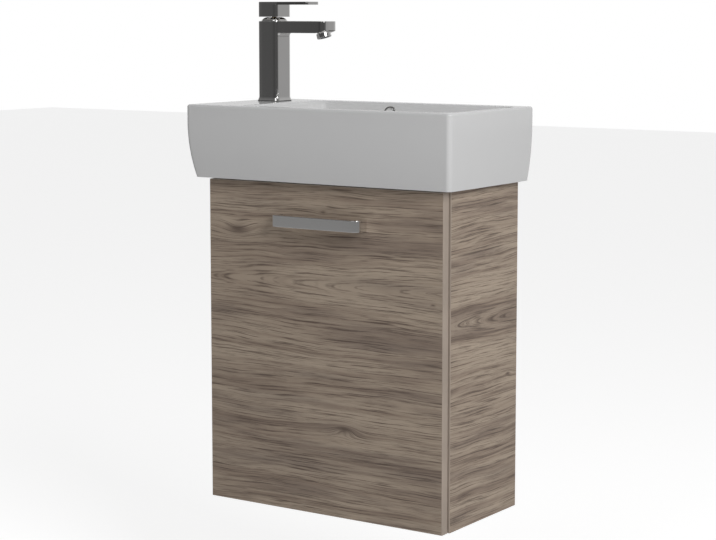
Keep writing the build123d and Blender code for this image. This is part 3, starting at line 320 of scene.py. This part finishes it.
# Knots: place along and up, radius, and how far the lines part. Clouds: place, half sizes and weight.
door_knots = ((0.042, -0.4165, 0.009, 0.010), (0.002, -0.075, 0.004, 0.003),
              (0.205, -0.2045, 0.003, 0.003), (-0.165, -0.112, 0.016, 0.012))
door_clouds = ((0.12, -0.181, 0.10, 0.008, 0.55), (0.18, -0.205, 0.06, 0.010, 0.4),
               (-0.19, -0.245, 0.035, 0.012, 0.6), (0.13, -0.278, 0.10, 0.008, 0.5),
               (-0.01, -0.335, 0.06, 0.007, 0.6), (0.17, -0.350, 0.07, 0.010, 0.4),
               (0.03, -0.4165, 0.05, 0.009, 0.6), (-0.06, -0.478, 0.11, 0.016, 0.6),
               (0.16, -0.468, 0.08, 0.013, 0.55), (0.00, -0.080, 0.06, 0.014, 0.45),
               (-0.14, -0.065, 0.06, 0.014, 0.4))
side_knots = ((-0.028, -0.337, 0.004, 0.004),)
side_clouds = ((-0.10, -0.135, 0.07, 0.010, 0.5), (-0.17, -0.155, 0.04, 0.010, 0.5),
               (-0.12, -0.480, 0.05, 0.006, 0.4), (-0.18, -0.540, 0.03, 0.010, 0.6))

edge_plastic = plain("edge_plastic", (0.50, 0.415, 0.345), 0.5)
door_oak = oak("door_oak", "x", "z", "y", (0.34, -0.190, 0.035), door_knots, door_clouds)
side_oak = oak("side_oak", "y", "z", "x", (0.10, -0.240, 0.05), side_knots, side_clouds)
level_oak = oak("level_oak", "x", "y", "z", (0.25, 0.05, 0.15))
wear(["left_side_panel", "right_side_panel"], side_oak)
wear(["bottom_panel", "top_front_rail", "shelf"], level_oak)
wear(["top_rear_rail", "back_panel", "door_panel"], door_oak)
wear(["carcass_edge_bands", "door_edge_bands"], edge_plastic)


# Sealing strip and door bumpers
# Black foam strip laid along the top of the carcass under the basin, and small rubber pads
# stuck behind the door's free edge.

rubber = plain("rubber", (0.03, 0.03, 0.032), 0.6)
wear(["sealing_strip", "door_bumpers"], rubber)


# Joint hardware
# Beech dowels glued into the boards, steel cam bolts drawn tight by cast zinc housings, steel
# shelf pins, and steel hinges pressed into the door and screwed to the left side.

steel = plain("bright_steel", (0.62, 0.62, 0.63), 0.3, 1.0)
zinc = plain("cast_zinc", (0.46, 0.46, 0.47), 0.42, 1.0)
beech = plain("beech", (0.62, 0.44, 0.27), 0.6)
brass = plain("brass", (0.78, 0.57, 0.28), 0.32, 1.0)
wear(["assembly_dowels"], beech)
wear(["cam_bolts", "shelf_pins", "hinge_plate_screws", "hinge_clamp_screws", "hinge_cup_screws",
      "hinge_cup_pins", "hinge_arm_pins", "hinge_cups", "hinge_arms", "hinge_links",
      "handle_screws", "hinge_mounting_plates"], steel)
wear(["cam_housings"], zinc)


# Handle
# Flat bar bent into a bow and chromed, its corners eased. Two screws through the door hold it.

chrome = plain("chrome", (0.78, 0.77, 0.76), 0.06, 1.0, depth=0.000002, spread=0.03)


def skin(name, rows, body, finish, joined=False):
    """A closed surface through rows of points; each row is a closed loop along the piece.

    Neighbouring rows are joined by four-sided faces. The first and last rows are filled, or
    joined to each other.
    """
    count, around = rows.shape[:2]
    row = np.arange(count if joined else count - 1)[:, None]
    step = np.arange(around)[None, :]
    here = row * around + step
    beside = row * around + (step + 1) % around
    above = (row + 1) % count * around + step
    above_beside = (row + 1) % count * around + (step + 1) % around
    faces = np.stack([here, beside, above_beside, above], axis=-1).reshape(-1, 4).tolist()
    if not joined:
        faces.append(list(range(around))[::-1])
        faces.append([(count - 1) * around + i for i in range(around)])
    mesh = bpy.data.meshes.new(name)
    mesh.from_pydata(rows.reshape(-1, 3).tolist(), [], faces)
    mesh.polygons.foreach_set("use_smooth", [True] * len(mesh.polygons))
    mesh.set_sharp_from_angle(angle=radians(35.0))
    mesh.materials.append(finish.material)
    piece = bpy.data.objects.new(name, mesh)
    bpy.context.scene.collection.objects.link(piece)
    even = piece.modifiers.new("even_shading", "WEIGHTED_NORMAL")
    even.keep_sharp = True
    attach(piece, body)
    return piece


def arc(centre, radius, start, end, steps):
    """Points of a round corner, from one angle to another in degrees."""
    angles = np.radians(np.linspace(start, end, steps + 1))
    return np.stack([centre[0] + radius * np.cos(angles), centre[1] + radius * np.sin(angles)], axis=-1)


def run(start, end, steps):
    """Evenly spaced points of a straight stretch, without its last point."""
    share = np.linspace(0.0, 1.0, steps, endpoint=False)[:, None]
    return np.asarray(start) * (1.0 - share) + np.asarray(end) * share


handle_half = 0.084
handle_inner_half = 0.076
handle_back = -0.223
handle_front = -0.249
handle_thick = 0.005
handle_level = -0.091
handle_tall = 0.0185
handle_bend = 0.013
handle_ease = 0.0009
leg_steps = 6
bow_steps = 12
front_steps = 24


def handle_side(half, front, bend):
    """One face of the bow in plan: up a leg, round a bend, along the front, and down the other leg."""
    left = run((-half, handle_back), (-half, front + bend), leg_steps)
    first = arc((-half + bend, front + bend), bend, 180.0, 270.0, bow_steps)
    middle = run((-half + bend, front), (half - bend, front), front_steps)[1:]
    second = arc((half - bend, front + bend), bend, 270.0, 360.0, bow_steps)
    right = run((half, front + bend), (half, handle_back), leg_steps)[1:]
    return np.concatenate([left, first, middle, second, right, [(half, handle_back)]])


def handle_rows():
    """The bar's section, a rectangle with eased corners, carried along the bow from foot to foot."""
    outer = handle_side(handle_half, handle_front, handle_bend)
    inner = handle_side(handle_inner_half, handle_front + handle_thick, handle_bend - handle_thick)
    across = inner - outer
    width = np.linalg.norm(across, axis=1, keepdims=True)
    across = across / width
    corner = arc((0.0, 0.0), handle_ease, 0.0, 90.0, 4)
    tall = handle_tall / 2 - handle_ease
    section = []
    for quarters, side, level in ((2, 0.0, -tall), (3, 1.0, -tall), (0, 1.0, tall), (1, 0.0, tall)):
        turn = quarters * pi / 2
        spin = np.array([[cos(turn), -sin(turn)], [sin(turn), cos(turn)]])
        inset = handle_ease if side == 0.0 else -handle_ease
        section += [(side, point[0] + inset, level + point[1]) for point in corner @ spin.T]
    section = np.array(section)
    distance = section[None, :, 0] * width + section[None, :, 1]
    plan = outer[:, None, :] + across[:, None, :] * distance[..., None]
    height = np.broadcast_to(handle_level + section[None, :, 2], distance.shape)
    return np.concatenate([plan, height[..., None]], axis=-1)


handle = skin("bow_handle", handle_rows(), "door", chrome)
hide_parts("handle")


# Basin
# White glazed fireclay in one casting: a straight rim wall that tapers in below, a tap deck on
# the left, and a bowl whose floor falls to the waste.

glaze = Finish("glazed_ceramic", roughness=0.10, ior=1.45)
cloud = glaze.noise(glaze.place()[0], 9.0, 2.0)
ripple = glaze.noise(glaze.place()[0], 30.0, 1.0)
tone = glaze.blend(cloud.step(0.3, 0.7), (0.80, 0.80, 0.80, 1.0), (0.79, 0.79, 0.792, 1.0))
glaze.set(base_color=tone, normal=glaze.bump(ripple, 0.00006))

rim_level = 0.088
sole_level = -0.030
straight_wall = 0.028
basin_half = 0.250
basin_front = -0.250
side_taper = 0.0085
front_taper = 0.013
outer_corner = 0.008
wall_corner = 0.0002
rim_ease = 0.004
lip_radius = 0.0035
bowl_left = -0.152
bowl_right = 0.236
bowl_front = -0.236
bowl_rear = -0.022
bowl_corner = 0.024
bowl_depth = 0.078
bowl_draft = 0.014
bowl_rear_draft = 0.028
floor_bend = 0.018
floor_corner = 0.012
drain = (0.0, -0.125)
drain_edge = 0.033
underside = -0.012
# Flange seat, hole and boss of the waste: radius and height.
drain_profile = ((0.0319, 0.0), (0.0319, -0.004), (0.023, -0.004), (0.023, sole_level),
                 (0.035, sole_level), (0.035, underside))
hollow_half = 0.2055
hollow_front = -0.195
hollow_rear = -0.012
hollow_corner = 0.006
corner_steps = 10
side_steps = 28


def loop(left, right, front, rear, radius, level, rear_radius=None):
    """A level rectangle with round corners, anticlockwise from the left end of its front.

    Every loop has as many points on each side and corner as the others, so that loops can be joined.
    """
    back = radius if rear_radius is None else rear_radius
    points = np.concatenate([
        run((left + radius, front), (right - radius, front), side_steps),
        arc((right - radius, front + radius), radius, 270.0, 360.0, corner_steps)[:-1],
        run((right, front + radius), (right, rear - back), side_steps),
        arc((right - back, rear - back), back, 0.0, 90.0, corner_steps)[:-1],
        run((right - back, rear), (left + back, rear), side_steps),
        arc((left + back, rear - back), back, 90.0, 180.0, corner_steps)[:-1],
        run((left, rear - back), (left, front + radius), side_steps),
        arc((left + radius, front + radius), radius, 180.0, 270.0, corner_steps)[:-1]])
    return np.concatenate([points, np.full((len(points), 1), level)], axis=-1)


def ring_round(centre, radius, level, like):
    """A circle whose points lie in the same directions from its centre as those of another loop."""
    out = like[:, :2] - np.asarray(centre)
    out = out / np.linalg.norm(out, axis=1, keepdims=True)
    points = np.asarray(centre) + out * radius
    return np.concatenate([points, np.full((len(points), 1), level)], axis=-1)


def bowl_loop(grow, share, corner, level):
    """A loop of the bowl's wall, this share of the way down its draft."""
    return loop(bowl_left - grow + bowl_draft * share, bowl_right + grow - bowl_draft * share,
                bowl_front - grow + bowl_draft * share, bowl_rear + grow - bowl_rear_draft * share,
                corner, level)


def basin_rows():
    """Loops up the outer wall, over the rim, down the bowl to the waste, and back under the floor.

    The outer wall draws in with the square of the depth below its straight part, and the bowl's
    wall runs into its floor along a parabola.
    """
    rows = []
    height = rim_level - sole_level
    for below in np.linspace(height, straight_wall, 13):
        share = (below - straight_wall) / (height - straight_wall)
        half = basin_half - side_taper * share ** 2
        front = basin_front + front_taper * share ** 2
        rows.append(loop(-half, half, front, 0.0, outer_corner, rim_level - below, wall_corner))
    for angle in np.radians(np.linspace(0.0, 90.0, 7)):
        inset = rim_ease * (1.0 - cos(angle))
        rows.append(loop(-basin_half + inset, basin_half - inset, basin_front + inset, 0.0,
                         outer_corner - inset * 0.8, rim_level - rim_ease + rim_ease * sin(angle),
                         wall_corner))
    for angle in np.radians(np.linspace(0.0, 75.0, 6)):
        out = lip_radius * (1.0 - sin(angle))
        rows.append(bowl_loop(out, 0.0, bowl_corner + out, rim_level - lip_radius + lip_radius * cos(angle)))
    for share in np.linspace(0.06, 0.78, 10):
        rows.append(bowl_loop(0.0, share, bowl_corner, rim_level - bowl_depth * share))
    wall = rows[-1]
    foot = bowl_loop(0.0, 1.0, bowl_corner, rim_level - bowl_depth)
    low = bowl_loop(-floor_bend, 1.0, floor_corner, rim_level - bowl_depth)
    for share in np.linspace(0.0, 1.0, 9)[1:]:
        first = wall * (1.0 - share) + foot * share
        second = foot * (1.0 - share) + low * share
        rows.append(first * (1.0 - share) + second * share)
    edge = ring_round(drain, drain_edge, 0.0, low)
    for share in np.linspace(0.0, 1.0, 9)[1:]:
        rows.append(low * (1.0 - share) + edge * share)
    rows += [ring_round(drain, radius, level, low) for radius, level in drain_profile]
    rows += [loop(-hollow_half, hollow_half, hollow_front, hollow_rear, hollow_corner, level)
             for level in (underside, sole_level)]
    return np.array(rows)


basin = skin("glazed_basin", basin_rows(), "cabinet_and_basin", glaze, joined=True)
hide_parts("basin")


# Overflow ring
# Chromed ring with a rounded lip, pushed into the hole in the bowl's rear wall.

overflow_place = (0.0, -0.0283, 0.0705)
overflow_tilt = radians(19.75)
collar_sleeve = 0.006
collar_steps = 48
# Distance out of the wall and radius, from the sleeve round the lip and back into the hole.
collar_profile = np.concatenate([
    [(-collar_sleeve, 0.0098), (0.0, 0.0099), (0.0, 0.0123)],
    arc((0.0011, 0.0114), 0.0011, 130.0, 0.0, 7),
    arc((0.0010, 0.0097), 0.0012, 0.0, -90.0, 5),
    [(-collar_sleeve, 0.0085)]])


def turned(profile, start, axis, steps):
    """Rings of a profile of (distance along the axis, radius), turned round the axis from its start."""
    axis = np.asarray(axis) / np.linalg.norm(axis)
    first = np.cross(axis, (1.0, 0.0, 0.0))
    first = first / np.linalg.norm(first)
    second = np.cross(axis, first)
    angles = np.linspace(0.0, 2.0 * pi, steps, endpoint=False)
    round_axis = np.cos(angles)[:, None] * first + np.sin(angles)[:, None] * second
    along, radius = profile.T
    return np.asarray(start) + along[:, None, None] * axis + radius[:, None, None] * round_axis


collar_axis = (0.0, -cos(overflow_tilt), sin(overflow_tilt))
collar_rows = turned(collar_profile, overflow_place, collar_axis, collar_steps)
overflow_ring = skin("overflow_collar", collar_rows, "cabinet_and_basin", chrome, joined=True)
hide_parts("overflow_ring")


# Waste, trap and tap fittings
# Chromed waste with a push plug, black rubber seals, and a white plastic bottle trap with its
# outlet pipe. The tap's cartridge and its fastening are brass, steel and grey plastic.

white_plastic = plain("white_plastic", (0.78, 0.78, 0.77), 0.35)
grey_plastic = plain("grey_plastic", (0.36, 0.37, 0.38), 0.45)
wear(["waste_body", "waste_plug", "aerator_housing"], chrome)
wear(["waste_seals", "plug_seal", "trap_washers", "horseshoe_seal", "tap_foot_seal"], rubber)
wear(["waste_back_nut", "cartridge_nut", "tap_turn_ring", "tap_spindle"], brass)
wear(["trap_body", "trap_cup", "trap_inlet_nut", "trap_inlet_tube", "trap_outlet_nut",
      "trap_outlet_pipe", "trap_slide_nut"], white_plastic)
wear(["plug_guide", "tap_cartridge", "aerator_insert", "lever_screw_cover"], grey_plastic)
wear(["tap_stud", "tap_stud_nut", "horseshoe_washer", "lever_screw"], steel)


# Tap body
# Brass casting, chromed: square column on a flared foot with a flat spout to the right.

tap_axis = (-0.205, -0.068)
body_low = 0.089
body_high = 0.221
column_half = 0.020
column_corner = 0.005
foot_half = 0.0225
foot_corner = 0.007
foot_height = 0.008
spout_low = 0.2015
spout_half = 0.019
spout_corner = 0.008
spout_end = -0.090
throat_radius = 0.007
nose_start = -0.105
nose_slope = radians(17.0)
top_ease = 0.0012
well_radius = 0.0174
well_depth = 0.010
flat_steps = 6
bend_steps = 6
arm_steps = 16
tip_steps = 4
face_steps = 2 * (arm_steps + bend_steps) + tip_steps
front_bend = slice(flat_steps, flat_steps + bend_steps)
right_face = slice(front_bend.stop, front_bend.stop + face_steps)
rear_bend = slice(right_face.stop, right_face.stop + bend_steps)


def square_loop(half, radius, level):
    """A round-cornered square about the tap's axis; its right face has the points of an arm."""
    x, y = tap_axis
    face = half - radius
    points = np.concatenate([
        run((x - face, y - half), (x + face, y - half), flat_steps),
        arc((x + face, y - face), radius, 270.0, 360.0, bend_steps)[:-1],
        run((x + half, y - face), (x + half, y + face), face_steps),
        arc((x + face, y + face), radius, 0.0, 90.0, bend_steps)[:-1],
        run((x + face, y + half), (x - face, y + half), flat_steps),
        arc((x - face, y + face), radius, 90.0, 180.0, bend_steps)[:-1],
        run((x - half, y + face), (x - half, y - face), flat_steps),
        arc((x - face, y - face), radius, 180.0, 270.0, bend_steps)[:-1]])
    return np.concatenate([points, np.full((len(points), 1), level)], axis=-1)


def arm(start, tip, root_half, tip_half, radius, slant=0.0):
    """Outline of a flat arm: out along its front, round its tip, and back along its rear."""
    y = tap_axis[1]
    return np.concatenate([
        run((start, y - root_half), (tip - radius, y - tip_half), arm_steps),
        arc((tip - radius, y - tip_half + radius), radius, 270.0 + slant, 360.0, bend_steps)[:-1],
        run((tip, y - tip_half + radius), (tip, y + tip_half - radius), tip_steps),
        arc((tip - radius, y + tip_half - radius), radius, 0.0, 90.0 - slant, bend_steps)[:-1],
        run((tip - radius, y + tip_half), (start, y + root_half), arm_steps)])


def spout_loop(inset, level):
    """The square loop with its right face drawn out into the spout, all drawn in by an inset."""
    points = square_loop(column_half - inset, column_corner - inset * 0.5, level)
    half = spout_half - inset
    points[right_face, :2] = arm(tap_axis[0] + column_half - inset, spout_end - inset, half, half,
                                 spout_corner - inset)
    return points


def tap_rows():
    """Loops up the flared foot and the column, out under the spout, up its sides and in over the top.

    The flare follows a quarter sine, and the column runs into the spout along a quarter circle.
    """
    rows = []
    for share in np.linspace(0.0, 1.0, 7):
        rows.append(square_loop(foot_half - (foot_half - column_half) * sin(share * pi / 2),
                                foot_corner - (foot_corner - column_corner) * share,
                                body_low + foot_height * share))
    throat = spout_low - throat_radius
    rows.append(square_loop(column_half, column_corner, throat))
    for angle in np.radians(np.linspace(10.0, 90.0, 8)):
        row = square_loop(column_half, column_corner, throat + throat_radius * sin(angle))
        row[right_face, 0] += throat_radius * (1.0 - cos(angle))
        rows.append(row)
    under = spout_loop(0.0, spout_low)
    under[:, 2] += np.maximum(under[:, 0] - nose_start, 0.0) * tan(nose_slope)
    rows += [under, spout_loop(0.0, body_high - top_ease)]
    for angle in np.radians(np.linspace(15.0, 90.0, 6)):
        rows.append(spout_loop(top_ease * (1.0 - cos(angle)), body_high - top_ease + top_ease * sin(angle)))
    well = ring_round(tap_axis, well_radius, body_high, rows[-1])
    rows += [well, ring_round(tap_axis, well_radius, body_high - well_depth, well)]
    return np.array(rows)


tap_body = skin("tap_casting", tap_rows(), "cabinet_and_basin", chrome)
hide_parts("tap_body")


# Dome under the lever
# Chromed cap over the cartridge nut, square with soft corners, which the lever's cap moves round.

dome_inner = 0.0060
dome_spread = 0.0124
dome_rise = 0.0078
dome_turn = 62.0
dome_sink = 0.0005
dome_corner = 0.010
dome_flat = 0.001
dome_bore = 0.0095
dome_wall = 0.003


def dome_rows():
    """Soft square loops that climb from the body's top, drawing in along an arc to the spindle's hole."""
    rows = []
    for angle in np.radians(np.linspace(0.0, dome_turn, 10)):
        half = dome_inner + dome_spread * cos(angle)
        level = body_high - dome_sink + dome_rise * sin(angle)
        rows.append(square_loop(half, min(half - dome_flat, dome_corner), level))
    hole = ring_round(tap_axis, dome_bore, rows[-1][0, 2], rows[-1])
    low = hole.copy()
    low[:, 2] -= dome_wall
    return np.array([*rows, hole, low])


dome = skin("tap_neck", dome_rows(), "cabinet_and_basin", chrome)
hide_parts("tap_dome")


# Lever
# Zinc casting, chromed: a square cap over the cartridge with a thin flat lever on top.

# Half width, corner radius and height of the cap, down inside its hollow and up outside.
cap_profile = ((0.0182, 0.0035, 0.2365), (0.0182, 0.0035, 0.2281), (0.0184, 0.0036, 0.2280),
               (0.0198, 0.0048, 0.2280), (0.020, 0.005, 0.2282), (0.020, 0.005, 0.2479))
plate_low = 0.2480
plate_high = 0.2530
lever_tip = -0.125
lever_tip_half = 0.0175
lever_slant = 2.0
lever_ease = 0.001


def plate_loop(inset, level):
    """The square loop with its right face drawn out into the tapering lever, drawn in by an inset."""
    half = column_half - inset
    radius = column_corner - inset * 0.5
    points = square_loop(half, radius, level)
    x, y = tap_axis
    start = x + half
    points[front_bend, :2] = run((start - radius, y - half), (start, y - half), bend_steps)
    points[rear_bend, :2] = run((start, y + half), (start - radius, y + half), bend_steps)
    points[right_face, :2] = arm(start, lever_tip - inset, half, lever_tip_half - inset, radius,
                                 lever_slant)
    return points


def lever_rows():
    """Loops down the hollow, out and up the cap's sides, out under the lever, and in over its top."""
    rows = [square_loop(*ring) for ring in cap_profile]
    rows.append(plate_loop(0.0, plate_low))
    for angle in np.radians(np.linspace(0.0, 90.0, 6)):
        rows.append(plate_loop(lever_ease * (1.0 - cos(angle)),
                               plate_high - lever_ease + lever_ease * sin(angle)))
    return np.array(rows)


lever = skin("tap_lever_casting", lever_rows(), "tap_lever", chrome)
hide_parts("tap_lever")
